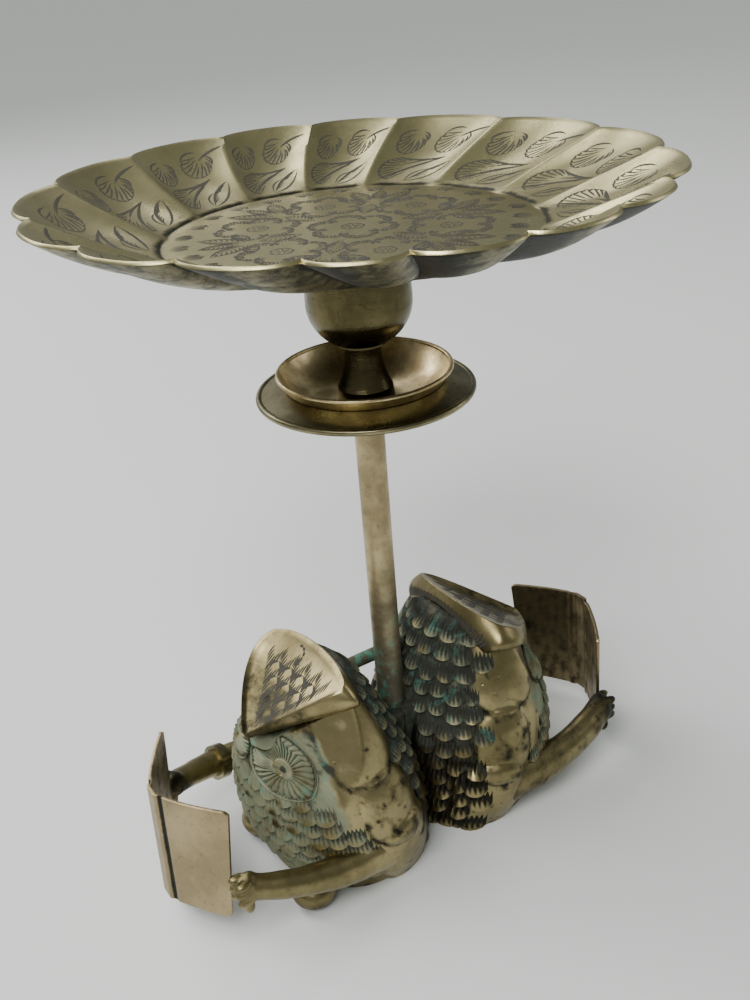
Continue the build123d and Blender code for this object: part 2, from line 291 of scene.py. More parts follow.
def old_brass(name, bright, dull, *, rough, cloud=38, painted=False, lathe=0, pits=0, brushed=0, foot=None):
    """Aged brass. A painted finish reads grime and patina off the mesh; below foot, a height, the metal goes
    near black and duller, with green spots.
    """
    finish = Finish(name, Metallic=1.0, Anisotropic=brushed)
    clouds = finish.step(finish.noise(cloud, 4), 0.36, 0.66)
    specks = finish.step(finish.noise(520, 2), 0.56, 0.74)
    streaks = finish.step(finish.noise(170, 5, 0.7), 0.35, 0.75)
    colour = finish.blend(clouds * 0.75 + streaks * 0.25, dull, bright)
    colour = finish.blend(specks * 0.30, colour, tuple(c * 0.45 for c in dull))
    roughness = specks * 0.10 - clouds * 0.09 + (rough + 0.07)
    height = finish.noise(900, 2) * 0.25 + finish.noise(90, 3)
    if lathe:
        flattened = {"Vector": finish.coordinates(), "Scale": (0.02, 0.02, 1)}
        rings = finish.noise(2600.0, 2.0, 0.5, finish.node("ShaderNodeMapping", None, flattened))
        roughness = roughness + rings * lathe * 0.2
        height = height + rings * lathe
    if pits:
        holes = finish.node("ShaderNodeTexVoronoi", None, {"Vector": finish.coordinates(), "Scale": 130.0})
        dots = 1.0 - finish.step(holes, 0.03, 0.13)
        dots = dots * finish.step(finish.noise(60, 2), 0.52, 0.62) * pits
        colour = finish.blend(dots * 0.85, colour, BLACK)
        height = height - dots * 3.0
    # below foot the colour goes near black, duller and less metallic, with green spots: darker towards the
    # bottom
    if foot:
        height_here = finish.node("ShaderNodeSeparateXYZ", None, {"Vector": finish.coordinates()}, output="Z")
        low = finish.step(height_here + (clouds - 0.5) * 0.02, foot, foot + 0.06, 1.0, 0.0)
        colour = finish.blend(low * 0.85, colour, tuple(c * 2.0 for c in BLACK))
        spots = finish.step(finish.noise(120, 5, 0.75), 0.50, 0.60) * low
        colour = finish.blend(spots * 0.8, colour, GREEN)
        roughness = roughness + low * 0.2
        finish.to_shader("Metallic", 1.0 - low * 0.6)
    if painted:
        # grime is soiling and painted shade in corners, creases and undersides, with painted reflections on
        # the tray; it blends the colour towards black
        grime = finish.attribute("grime")
        soft = finish.step(grime + (streaks - 0.5) * 0.35, 0.12, 0.85)
        colour = finish.blend(soft, colour, BLACK)
        patina = finish.attribute("patina")
        salts = finish.step(patina + (clouds - 0.5) * 0.2 + (streaks - 0.5) * 0.3, 0.15, 0.80)
        film = finish.blend(soft, FILM, tuple(c * 0.12 for c in FILM))
        colour = finish.blend(salts * 0.80, colour, film)
        crust = finish.step(finish.noise(150, 5, 0.75), 0.52, 0.68) * finish.step(patina, 0.45, 0.95)
        colour = finish.blend(crust * 0.75 * (1.0 - soft * 0.5), colour, GREEN)
        roughness = roughness + soft * 0.22 + salts * 0.35
        finish.to_shader("Metallic", 1.0 - finish.step(salts * 0.9 + soft * 0.35, 0.2, 1.0) * 0.85)
    finish.to_shader("Base Color", colour)
    finish.to_shader("Roughness", roughness)
    finish.bump(height, 0.00025, 0.35)
    return finish.material


turned_finish = old_brass(
    "turned_brass", (0.33, 0.295, 0.17), (0.14, 0.122, 0.066), rough=0.24, lathe=0.4, brushed=0.6)
stem_finish = old_brass(
    "stem_brass", (0.47, 0.375, 0.215), (0.24, 0.19, 0.10), rough=0.34, cloud=60, foot=0.075)
knop_finish = old_brass(
    "knop_brass", (0.145, 0.121, 0.058), (0.055, 0.045, 0.020), rough=0.16, lathe=0.35, brushed=0.6)
dish_finish = old_brass("dish_brass", (0.85, 0.70, 0.40), (0.34, 0.25, 0.115), rough=0.30, cloud=75)
owl_finish = old_brass(
    "owl_brass", (0.37, 0.305, 0.155), (0.175, 0.145, 0.067), rough=0.30, painted=True, pits=0.9)
book_finish = old_brass("book_brass", (0.42, 0.33, 0.19), (0.27, 0.21, 0.115), rough=0.33, painted=True)
tray_finish = old_brass(
    "tray_brass", (0.57, 0.505, 0.27), (0.33, 0.295, 0.155), rough=0.28, cloud=30, painted=True)
fibre = Finish("fibre", Metallic=0.0, Roughness=0.7)
fibre.to_shader("Base Color", fibre.blend(fibre.noise(300, 3), (0.10, 0.045, 0.025), (0.20, 0.10, 0.06)))
cut = Finish("burin_cut", Metallic=0.0, Roughness=0.8)
cut.to_shader("Base Color", cut.blend(cut.noise(260, 3), (0.012, 0.011, 0.008), (0.052, 0.047, 0.028)))
cut_finish = cut.material
print(len(bpy.data.materials), "finishes")


# %% [markdown]
# The turned pieces and the tube come from the frame as they are. They only need their finish, which is
# given to the object's material slots.

# %% Finish the pieces that keep their CAD shape
kept = {
    "tray_stud": turned_finish, "tray_washer": fibre.material, "knop_cap": turned_finish,
    "tulip_knop": knop_finish, "trumpet_neck": knop_finish, "drip_dish": dish_finish,
    "drip_flange": turned_finish, "stem_tube": stem_finish, "tie_rod": turned_finish,
    "base_washer": turned_finish, "base_nut": turned_finish, "bridge_bar": stem_finish,
}
for node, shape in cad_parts.items():
    shape.data.materials.clear()
    shape.data.materials.append(kept.get(node, turned_finish))
print("finished", ", ".join(kept))


# %% [markdown]
# Some small habits of mesh work are worth naming once: starting a piece from a primitive with nothing else
# selected, choosing edges in code by where they lie, applying a modifier, and painting a number on points.

# %% Mesh habits
def start(name, add, **options):
    """Add a primitive with nothing else selected, and name it."""
    bpy.ops.object.select_all(action="DESELECT")
    add(**options)
    made = bpy.context.object
    made.name = name
    bpy.ops.object.transform_apply(location=True, rotation=True, scale=True)
    return made


def edit(select_mode="VERT"):
    """Go into edit mode with nothing selected."""
    bpy.ops.object.mode_set(mode="EDIT")
    bpy.ops.mesh.select_mode(type=select_mode)
    bpy.ops.mesh.select_all(action="DESELECT")


def done():
    bpy.ops.object.mode_set(mode="OBJECT")


def modify(made, kind, **settings):
    """Add a modifier, set it and apply it."""
    bpy.context.view_layer.objects.active = made
    modifier = made.modifiers.new(kind.lower(), kind)
    for name, value in settings.items():
        setattr(modifier, name, value)
    bpy.ops.object.modifier_apply(modifier=modifier.name)


def move_points(made, rule):
    """Put every point where the rule sends it."""
    for point in made.data.vertices:
        point.co = rule(point.co.copy())
    made.data.update()


def paint(made, name, rule):
    """Write a number on every point of a mesh; the rule gets the point's place."""
    layer = made.data.attributes.get(name) or made.data.attributes.new(name, "FLOAT", "POINT")
    for point in made.data.vertices:
        layer.data[point.index].value = rule(point.co)


def paint_list(made, name, values):
    """Write a list of numbers on the points of a mesh, one each."""
    made.data.attributes.new(name, "FLOAT", "POINT").data.foreach_set("value", values)


def smooth(made, angle=40):
    """Shade smoothly except across sharp edges."""
    bpy.ops.object.select_all(action="DESELECT")
    made.select_set(True)
    bpy.context.view_layer.objects.active = made
    bpy.ops.object.shade_smooth_by_angle(angle=radians(angle))


def give(made, material, body, *nodes, slot=None):
    """Finish a piece, let it ride on a body and stand for CAD nodes."""
    made.data.materials.clear()
    made.data.materials.append(material)
    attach(made, body)
    if nodes:
        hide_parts(*nodes)
    print(made.name, len(made.data.polygons), "faces")


# %% [markdown]
# The tray is one sheet, pressed into sixteen flutes that swirl from the flat floor to a scalloped rim. The
# press was worked by hand, so the lobes are not all one width. Its shape is written as one rule, from a
# direction and a way up the wall to a point in space: the same rule shapes the sheet and lays the
# engraving on it. A ridge stands between each two flutes, so the rule is sharp there and round between.

# %% The tray's rule
tray_middle, tray_half = place("tray")
tray_top = tray_middle[2] + tray_half[2]
tray_depth = 19.6
floor_edge = 69.5
ridge_radius = 110.0
lobe_bulge = 6.3
swirl = 7.5
first_valley = 21.0
lobe_widths = [25, 20, 21, 24, 26, 29, 26, 20, 19, 15, 18, 19, 20, 26, 25, 27]
valleys = [first_valley + sum(lobe_widths[:i]) for i in range(len(lobe_widths) + 1)]


def lobe_at(direction):
    """Number of the lobe at a direction of the rim, and the place across it from -1 to 1."""
    turned = (direction - first_valley) % 360 + first_valley
    for number, width in enumerate(lobe_widths):
        if turned <= valleys[number + 1]:
            return number, 2 * (turned - valleys[number]) / width - 1
    return 0, -1.0


def rim_direction(number, across):
    """The direction at the rim of a place across a lobe."""
    return valleys[number] + (across + 1) / 2 * lobe_widths[number]


def fluted(direction, way):
    """A point of the tray's upper skin: direction at the rim, way 0 at the floor's edge, 1 at the rim."""
    number, across = lobe_at(direction)
    hollow = (1 - abs(across) ** 2.6) ** (1.25 - 0.45 * way ** 4)
    steep = way ** 2.2
    spread = way * 0.88 + (1 - (1 - way) ** 1.6) * 0.12
    ridge = floor_edge - 0.8 + (ridge_radius - floor_edge + 0.8) * spread
    ridge_z = tray_depth * (0.74 * way + 0.26 * steep - 1) + 1.3 * sin(pi * way)
    bulge = lobe_bulge * (0.25 + 0.75 * way ** 0.8)
    drop = 2.6 * sin(pi * way) if 0 < way < 1 else 0
    radius = ridge + bulge * hollow
    height = tray_top + ridge_z - drop * hollow
    angle = radians(direction + swirl * (1 - way))
    return Vector((radius * cos(angle), radius * sin(angle), height)) * MM


def tray_skin(direction, way):
    """A point of the skin and the direction straight out of it, upwards."""
    here = fluted(direction, way)
    across = fluted(direction + 0.4, way) - fluted(direction - 0.4, way)
    along = fluted(direction, min(way + 0.02, 1.0)) - fluted(direction, max(way - 0.02, 0.0))
    return here, along.cross(across).normalized() * (-1 if along.cross(across).z < 0 else 1)


print("valleys at", valleys[:5], "...")


# %% [markdown]
# The sheet starts as a disc. Its edge is extruded outwards ring by ring, first over the floor and then up
# the wall, and each point is then sent where the rule says. Solidify gives it the thickness of the
# metal, and a bevel rounds the cut edge of the rim.

# %% Press the tray
steps_per_lobe = 20
tray_columns = steps_per_lobe * len(lobe_widths)
wall_rings = 22
floor_rings = (14, 24, 34, 44, 53, 60, 66, 68.2, 69.0)
sheet = 1.3

tray = start("scalloped_tray", bpy.ops.mesh.primitive_circle_add, vertices=tray_columns, radius=6 * MM,
             fill_type="TRIFAN")
edit("EDGE")
ring_radius = 6.0
for radius in [*floor_rings, *(floor_edge + i * 2 for i in range(wall_rings + 1))]:
    bpy.ops.mesh.select_all(action="DESELECT")
    bpy.ops.mesh.select_non_manifold()
    bpy.ops.mesh.extrude_edges_move()
    bpy.ops.transform.resize(value=(radius / ring_radius, radius / ring_radius, 1), center_override=(0, 0, 0))
    ring_radius = radius
done()


def floor_wave(radius):
    """How far the floor rises over its lowest level: a slight dome with faint rings."""
    return 0.25 * (1 - radius / floor_edge) + 0.12 * sin(radius / 7.0)


def press(point):
    """Where a point of the flat sheet goes."""
    radius = hypot(point.x, point.y) / MM
    direction = degrees(atan2(point.y, point.x)) % 360
    column = direction / 360 * tray_columns
    number, step = divmod(round(column) % tray_columns, steps_per_lobe)
    across = -cos(pi * step / steps_per_lobe) * 0.35 + (2 * step / steps_per_lobe - 1) * 0.65
    rim = rim_direction(number, across)
    way = (radius - floor_edge) / (2 * wall_rings)
    if way > -0.001:
        return fluted(rim, min(max(way, 0.0), 1.0))
    outline = fluted(rim, 0.0)
    share = radius / floor_edge
    crease = 0.5 * exp(-(((radius - floor_edge + 1.2) / 1.1) ** 2))
    sink = floor_wave(radius) - crease
    return Vector((outline.x * share, outline.y * share, (tray_top - tray_depth + sink) * MM))


move_points(tray, press)
if tray.data.polygons[0].normal.z < 0:
    tray.data.flip_normals()
modify(tray, "SOLIDIFY", thickness=sheet * MM, offset=-1.0, use_even_offset=True)
modify(tray, "BEVEL", width=0.45 * MM, segments=2, limit_method="ANGLE", angle_limit=radians(60))
smooth(tray, 50)


def tray_grime_and_shade(point, below):
    """Painted shade with some soiling: dark in the crease along the floor's edge and at the foot of each
    flute; on the skin that faces below, painted shade all over, darkest in the grooves, and a painted
    reflection that darkens one side of each flute.
    """
    radius = hypot(point.x, point.y) / MM
    # painted shade in the crease along the floor's edge
    edge = exp(-(((radius - floor_edge) / 0.9) ** 2)) * 0.75
    direction = degrees(atan2(point.y, point.x))
    way = min(max((radius - floor_edge) / (ridge_radius + 4 - floor_edge), 0), 1)
    across = lobe_at(direction - swirl * (1 - way))[1]
    # painted shade in the grooves on the outside
    groove = exp(-(((1 - abs(across)) / 0.12) ** 2)) * (0.95 if below else 0.0)
    if below:
        # painted shade over the outside, and a painted reflection: each flute darker on one side
        groove = max(groove, 0.48 + 0.47 * min(1.0, max(0.0, (0.15 - across) / 0.8)) * (0.5 + 0.5 * way))
    # painted shade at the foot of each flute
    foot = 0.16 + 0.26 * exp(-way * 7) if radius > floor_edge else 0.06
    # painted shade under the floor
    under = 0.35 if below and radius < floor_edge else 0.0
    return min(1.0, edge + groove + foot + under)


paint_list(tray, "grime", [tray_grime_and_shade(point.co, point.normal.z < 0) for point in tray.data.vertices])
paint(tray, "patina", lambda p: 0.55 * exp(-((hypot(p.x + 0.01, p.y - 0.052) / 0.014) ** 2)))
give(tray, tray_finish, "tray", "tray", slot="tray_brass")


# %% [markdown]
# The chaser cut the pattern with a burin: every line is a short groove that swells in the middle and dies
# out at both ends. One cut is modelled as a leaf-shaped sliver, a little higher along its middle line,
# and copied along each line. It lies a hair above the sheet in a near black finish, as a groove full of
# old dirt looks.

# %% One burin cut
cut_steps = 6
burin = start("burin_cut_pattern", bpy.ops.mesh.primitive_grid_add, x_subdivisions=cut_steps,
              y_subdivisions=2, size=2)
edit()
bpy.ops.mesh.select_all(action="SELECT")
bpy.ops.transform.resize(value=(0.5, 0.5, 1))
done()


def taper(point):
    """One unit long and wide, closing towards both ends, with a low ridge along its middle line."""
    swell = max(0.0, 1 - abs(2 * point.x) ** 2.4) ** 0.7
    crest = 0.055 if abs(point.y) < 0.1 else 0.0
    return Vector((point.x + 0.5, point.y * swell, crest))


move_points(burin, taper)
cut_points = [point.co.copy() for point in burin.data.vertices]
cut_faces = [tuple(face.vertices) for face in burin.data.polygons]
bpy.data.objects.remove(burin)
print("a cut has", len(cut_faces), "faces")


class Engraving:
    """Cuts that are gathered on a flat pattern and then laid on a skin as one mesh."""

    def __init__(self, name, skin, weight=1.08):
        self.name = name
        self.weight = weight
        self.skin = skin            # from flat (x, y) to a point and the direction out of the metal
        self.points = []
        self.faces = []

    def cut(self, begin, finish, bend=0.0, width=0.7):
        """A cut between two flat places, bowed sideways by a share of its length."""
        run = Vector(finish) - Vector(begin)
        side = Vector((-run.y, run.x))
        half = Vector((-run.y, run.x)).normalized() * width * self.weight
        first = len(self.points)
        for along, across, rise in cut_points:
            bow = side * bend * 4 * along * (1 - along)
            flat = Vector(begin) + run * along + bow + half * across
            here, out = self.skin(flat.x, flat.y)
            self.points.append(here + out * (rise + 0.02) * MM)
        self.faces += [tuple(first + corner for corner in face) for face in cut_faces]

    def arc(self, middle, radius, begin, end, pieces, width=0.7, squash=1.0):
        """A curved line made of several cuts round a middle; angles are in degrees."""
        stops = [radians(begin + (end - begin) * i / pieces) for i in range(pieces + 1)]
        places = [(middle[0] + radius * cos(a), middle[1] + radius * squash * sin(a)) for a in stops]
        bulge = tan(radians(end - begin) / pieces / 4) / 2
        for one, two in zip(places, places[1:]):
            self.cut(one, two, -bulge, width)

    def fan(self, root, tips, width=0.6, share=0.35, bend=0.0):
        """Short cuts that point at a root and end at the tips, as the ribs of a shell do."""
        for tip in tips:
            begin = Vector(root).lerp(Vector(tip), share)
            self.cut(begin, tip, bend, width)

    def make(self, *, body, slot):
        """Turn the gathered cuts into one piece of the lamp."""
        mesh = bpy.data.meshes.new(self.name)
        mesh.from_pydata(self.points, [], self.faces)
        made = bpy.data.objects.new(self.name, mesh)
        bpy.context.scene.collection.objects.link(made)
        if mesh.polygons[0].normal.dot(self.skin(*self.probe)[1]) < 0:
            mesh.flip_normals()
        give(made, cut_finish, body, slot=slot)
        return made


# %% [markdown]
# The same sprig is cut in every flute: two ribbed shells above, and below them a long fan with a scalloped
# end and a small feathery leaf. It is drawn on a flat square, from -1 to 1 across the flute and 0 to 1 up
# it, in millimetres of an average flute, and the tray's rule carries it into place.

# %% Sprigs in the flutes
flute_width = 38.0
flute_height = 46.0


def along_arc(middle, radius, begin, end, count, squash=1.0):
    """Evenly spaced places on an arc."""
    angles = [radians(begin + (end - begin) * i / (count - 1)) for i in range(count)]
    return [(middle[0] + radius * cos(a), middle[1] + radius * squash * sin(a)) for a in angles]


def shell(work, middle, wide, tall, lean, handle=0.0):
    """A ribbed shell that hangs from a root; a long handle may sweep up from it to one side."""
    def at(x, y):
        turned_x = x * cos(lean) + y * sin(lean)
        turned_y = y * cos(lean) - x * sin(lean)
        return (middle[0] + wide * turned_x, middle[1] + tall * turned_y)

    root = at(0.25, 0.95)
    rim = [at(cos(radians(a)), sin(radians(a))) for a in range(165, 396, 21)]
    for number, place_on_rim in enumerate(rim):
        begin = Vector(root).lerp(Vector(place_on_rim), 0.30 + 0.16 * (number % 2))
        work.cut(begin, place_on_rim, 0.06, 0.72)
    for one, two in zip(rim, rim[1:]):
        work.cut(one, two, 0.22, 0.75)
    work.cut(at(-1.0, 0.15), at(-0.15, 1.05), 0.26, 1.05)
    work.cut(at(0.95, 0.2), root, -0.20, 0.8)
    if handle:
        work.cut(at(0.1, 0.45), at(0.9 + handle * 0.35, 1.0 + handle), 0.07, 1.25)
        work.cut(at(0.3, 0.75), at(0.9 + handle * 0.35, 1.0 + handle), 0.10, 0.8)


def sprig(work, sway):
    """The four motifs of one flute; sway shifts them a little, as handwork does."""
    shell(work, (-9.0 + sway, 30.0), 5.4, 7.4, 0.10 + sway * 0.2)
    shell(work, (6.0 + sway, 31.0), 6.2, 7.6, 0.45, 0.9)
    tip = (9.5, 21.0 + sway)
    fan_end = along_arc((-8.5, 12.0 + sway * 0.5), 7.2, 98, 268, 11, 1.15)
    work.cut((-9.5, 20.4), tip, -0.09, 1.2)
    work.cut((-13.5, 3.6), tip, 0.03, 1.45)
    work.cut((-6.0, 15.4), (7.0, 19.6), 0.06, 0.95)
    work.cut((-6.5, 10.2), (5.0, 17.6), 0.04, 0.95)
    for number, place_on_end in enumerate(fan_end):
        begin = Vector((2.0, 16.2)).lerp(Vector(place_on_end), 0.48 + 0.14 * (number % 2))
        work.cut(begin, place_on_end, 0, 0.7)
    for one, two in zip(fan_end, fan_end[1:]):
        work.cut(one, two, 0.30, 1.0)
    for rib in range(11):
        share = rib / 10
        foot = (0.5 + 8.6 * share, 3.0 + 7.8 * share + 2.2 * sin(pi * share))
        work.cut(foot, (foot[0] + 6.4 - 2.6 * share, foot[1] + 4.4), 0.10, 0.75)
    work.cut((0.0, 2.2), (15.0, 16.5), -0.20, 1.1)
    work.cut((0.0, 2.2), (7.0, 12.2), 0.22, 1.0)
    work.cut((6.5, 11.0), (15.0, 17.0), 0.06, 0.9)


for number, width in enumerate(lobe_widths):
    def flute_skin(x, y, number=number):
        across = min(0.93, max(-0.93, -2 * x / flute_width))
        return tray_skin(rim_direction(number, across), min(0.97, max(0.02, y / flute_height)))

    if number == 0:
        sprigs = Engraving("flute_engraving", flute_skin)
        sprigs.probe = (0, 20)
    sprigs.skin = flute_skin
    sprig(sprigs, 0.9 * sin(number * 2.4))
sprigs.make(body="tray", slot="tray_brass")


# %% [markdown]
# The floor is crowded: a ring of flowers with a larger one in the middle, feathery leaves between them and
# small tufts all round the edge. Each flower has a ribbed eye and double-edged petals.

# %% Flowers on the floor
def floor_skin(x, y):
    """A point of the flat floor, from a flat pattern in millimetres."""
    return Vector((x, y, tray_top - tray_depth + floor_wave(hypot(x, y)))) * MM, Vector((0, 0, 1))


def flower(work, middle, size, petals, turn):
    """A round flower: hatched eye, then petals whose outer edges are heavy and fringed with short strokes."""
    work.arc(middle, size * 0.24, 0, 360, 7, 0.9)
    work.fan(middle, along_arc(middle, size * 0.20, 0, 320, 7), 0.6, 0.2)
    half = 180 / petals
    for petal in range(petals):
        angle = turn + petal * 360 / petals
        heart = (middle[0] + size * 0.60 * cos(radians(angle)), middle[1] + size * 0.60 * sin(radians(angle)))
        reach = size * 0.60 * tan(radians(half)) * 1.10
        work.arc(heart, reach, angle - 115, angle + 115, 6, 1.6)
        work.arc(heart, reach * 0.62, angle - 70, angle + 20, 2, 0.75)
        fringe = along_arc(heart, reach * 0.95, angle - 62, angle + 62, 9)
        for end in fringe:
            work.cut(Vector(heart).lerp(Vector(end), 0.68), end, 0, 0.6)


def leaf(work, root, tip, half_width, ribs=7):
    """A pointed leaf with slanting ribs on both sides of its vein."""
    root, tip = Vector(root), Vector(tip)
    run = tip - root
    side = Vector((-run.y, run.x)).normalized() * half_width
    work.cut(root, tip, half_width / run.length * 0.9, 0.9)
    work.cut(root, tip, -half_width / run.length * 0.9, 0.9)
    for rib in range(ribs):
        share = 0.15 + 0.65 * rib / (ribs - 1)
        swell = sin(pi * (share + 0.12)) * 0.8
        for hand in (1, -1):
            work.cut(root + run * share, root + run * (share + 0.14) + side * hand * swell, 0.1 * hand, 0.7)


def tuft(work, middle, direction, size):
    """A small ribbed tuft that opens towards the rim."""
    out = degrees(direction)
    root = (middle[0] - size * cos(direction), middle[1] - size * sin(direction))
    work.fan(root, along_arc(middle, size * 0.75, out - 80, out + 80, 8), 0.62, 0.35)


blooms = Engraving("floor_engraving", floor_skin)
blooms.probe = (0, 0)
flower(blooms, (0, 0), 17.0, 6, 10)
ring_flowers = 6
for bloom in range(ring_flowers):
    angle = radians(15 + bloom * 360 / ring_flowers)
    out = Vector((cos(angle), sin(angle)))
    flower(blooms, out * 36.0, 16.2, 6, degrees(angle) + 30)
    between = radians(15 + (bloom + 0.5) * 360 / ring_flowers)
    root = Vector((cos(between), sin(between)))
    side = Vector((-root.y, root.x))
    leaf(blooms, root * 19, root * 35, 3.6)
    for hand in (1, -1):
        leaf(blooms, root * 39 + side * 2 * hand, root * 55 + side * 12 * hand, 3.6)
        leaf(blooms, root * 37 + side * 3.5 * hand, root * 42 + side * 15 * hand, 2.6, 5)
    leaf(blooms, root * 42, root * 57, 3.0)
tufts = 26
for number in range(tufts):
    angle = 2 * pi * (number + 0.5) / tufts
    reach = 61.0 + 1.2 * sin(number * 1.9)
    tuft(blooms, (reach * cos(angle), reach * sin(angle)), angle + 0.25 * sin(number * 2.7), 5.4)
blooms.make(body="tray", slot="tray_brass")


# %% [markdown]
# Each owl is a hollow casting, so its skin can be written as one rule: a place is a turn round the body,
# 0 at the breast and 180 at the back, and a height. Ovals from the frame give the round form. Pillows
# stand on it where the founder's wax model had a shoulder, a wing, a thigh and a breast.

# %% The owl's rule
owl_ovals = [
    (0, 32.5, 32.5, 39.0),
    (12, 34.5, 34.5, 43.5),
    (30, 36.6, 36.4, 46.0),
    (46, 37.5, 35.0, 44.0),
    (58, 39.0, 31.5, 39.5),
    (72, 41.0, 28.0, 34.0),
    (86, 43.0, 23.0, 27.5),
    (102, 47.0, 15.0, 19.0),
]
pillows = [                         # turn, height, half width, half height, swell
    (94, 80.0, 35, 23.5, 3.8),
    (102, 43.0, 22, 17.0, 3.0),
    (112, 15.0, 27, 21.0, 4.2),
    (0, 37.0, 66, 25.0, 1.6),
]
square_back = 0.5                   # how square the backs are at the foot, where the two owls meet
joint_gap = 0.15
beak = Vector((-72.0, 0, 73.5))
crown_run = 42.8
crown_half = 28.0
crown_slope = radians(33.85)
crown_along = Vector((cos(crown_slope), 0, sin(crown_slope)))
crown_out = Vector((-sin(crown_slope), 0, cos(crown_slope)))


def oval_at(height):
    """Middle, half depth and half width of the body at a height, with the corners of the table rounded."""
    total = [0.0, 0.0, 0.0]
    for shift in (-4, 0, 4):
        here = min(max(height + shift, 0), 101.9)
        for low, high in zip(owl_ovals, owl_ovals[1:]):
            if low[0] <= here <= high[0]:
                share = (here - low[0]) / (high[0] - low[0])
                total = [t + (a + (b - a) * share) / 3 for t, a, b in zip(total, low[1:], high[1:])]
                break
    return total


def crown_edge(run, across):
    """Half width of the crown's plate: nearly straight on one side and bowed on the other."""
    share = min(1.0, max(0.0, run / crown_run))
    bow = (11.5 if across > 0 else 0.6) * sin(pi * share) ** 0.8 + (1.5 * share if across > 0 else 0)
    return crown_half * share + bow + 0.7


def tuck_in(here):
    """Draw the body in under the plate of the crown, so that no ledge stands out beside it."""
    run = (here - beak).dot(crown_along)
    depth = (beak - here).dot(crown_out)
    limit = crown_edge(run, here.y) + 0.8 + 1.4 * max(0.0, depth - 7.1)
    hold = min(1.0, max(0.0, (crown_run + 4 - run) / 9)) * min(1.0, max(0.0, run / 8))
    if abs(here.y) > limit:
        drawn = limit + (abs(here.y) - limit) * 0.12
        here.y += (drawn * (1 if here.y > 0 else -1) - here.y) * hold
    return here


def under_crown(here):
    """Push a point down until it lies under the plate of the crown."""
    over = (here - beak).dot(crown_out) + 7.0
    if over > 0 and here.x < -29:
        here.z -= over / crown_out.z
    return here


def pillow_reach(turn, height, pillow):
    """0 in the middle of a pillow, 1 on its edge."""
    x = (abs(turn) - pillow[0]) / pillow[2]
    y = (height - pillow[1]) / pillow[3]
    return abs(x) ** 2.5 + abs(y) ** 3


def owl_skin(turn, height, lift=0.0):
    """A point on the left owl's skin, in millimetres; lift is how far it stands out."""
    middle, half_depth, half_width = oval_at(height)
    angle = radians(turn)
    swell = sum(p[4] * sqrt(max(0.0, 1 - pillow_reach(turn, height, p))) for p in pillows)
    out = Vector((-cos(angle) / half_depth, sin(angle) / half_width, 0)).normalized()
    here = Vector((-middle - half_depth * cos(angle), half_width * sin(angle), height))
    if cos(angle) < 0:
        square = (1 - square_back * min(1.0, max(0.0, 1 - height / 75)) * -cos(angle))
        here.y = half_width * abs(sin(angle)) ** square * (1 if sin(angle) > 0 else -1)
    here = tuck_in(under_crown(here + out * (swell + lift)))
    here.x = min(here.x, -joint_gap)
    return here


def owl_frame(turn, height):
    """A place on the skin with its directions: round the body, up the body and straight out."""
    round_it = (owl_skin(turn + 1, height) - owl_skin(turn - 1, height)) / 2
    up_it = (owl_skin(turn, height + 0.8) - owl_skin(turn, height - 0.8)).normalized()
    out = round_it.cross(up_it).normalized()
    flat = Vector((-cos(radians(turn)), sin(radians(turn)), 0))
    return owl_skin(turn, height), round_it, up_it, out if out.dot(flat) > 0 else -out


def wander(place, size):
    """Slow uneven numbers from -1 to 1 that depend only on the place."""
    return noise.noise(Vector(place) / size)


print("the owl stands", round((beak + crown_along * crown_run).z), "mm high at its ears")


# %% [markdown]
# The casting starts as a flat grid. The owl's rule rolls it into a tube, one column for each direction and
# one row for each height, and the seam is merged. The top closes under the crown, the foot stays open,
# and Solidify gives the wall that a hollow casting has.

# %% Cast the body
body_columns = 200
body_rings = 116
owl_height = 94.5
owl_wall = 3.4


def cast_owl(name):
    """The body of the left owl with its wall."""
    made = start(name, bpy.ops.mesh.primitive_grid_add, x_subdivisions=body_columns,
                 y_subdivisions=body_rings, size=2)

    def rule(point):
        share = (point.y + 1) / 2
        height = owl_height * min(1.0, share * 1.06)
        here = owl_skin(180 * point.x, height)
        closing = max(0.0, share * 1.06 - 1.0) / 0.06
        middle = Vector((-oval_at(height)[0], 0, here.z))
        return under_crown(here.lerp(middle, closing * 0.995)) * MM

    move_points(made, rule)
    edit()
    bpy.ops.mesh.select_all(action="SELECT")
    bpy.ops.mesh.remove_doubles(threshold=0.02 * MM)
    bpy.ops.mesh.normals_make_consistent(inside=False)
    done()
    modify(made, "SOLIDIFY", thickness=owl_wall * MM, offset=-1.0)
    move_points(made, lambda p: Vector((p.x, p.y, max(0.0, p.z))))
    return made


left_owl = cast_owl("left_owl")
print("body", len(left_owl.data.polygons), "faces")


# %% [markdown]
# Painted shade sits where two pillows meet, under the brow and between the two backs, and the face and the
# lower wing are painted darker; real stains and wear lie over all of it. Green salts grew where water stood
# longest: on the breast, round the eyes and down the upper back.

# %% Paint the body
def body_place(point):
    """Turn and height of a point near the skin, the other way round from the rule."""
    height = point.z / MM
    middle, half_depth, half_width = oval_at(height)
    turn = degrees(atan2(point.y / MM / half_width, (-point.x / MM - middle) / half_depth))
    return turn, height


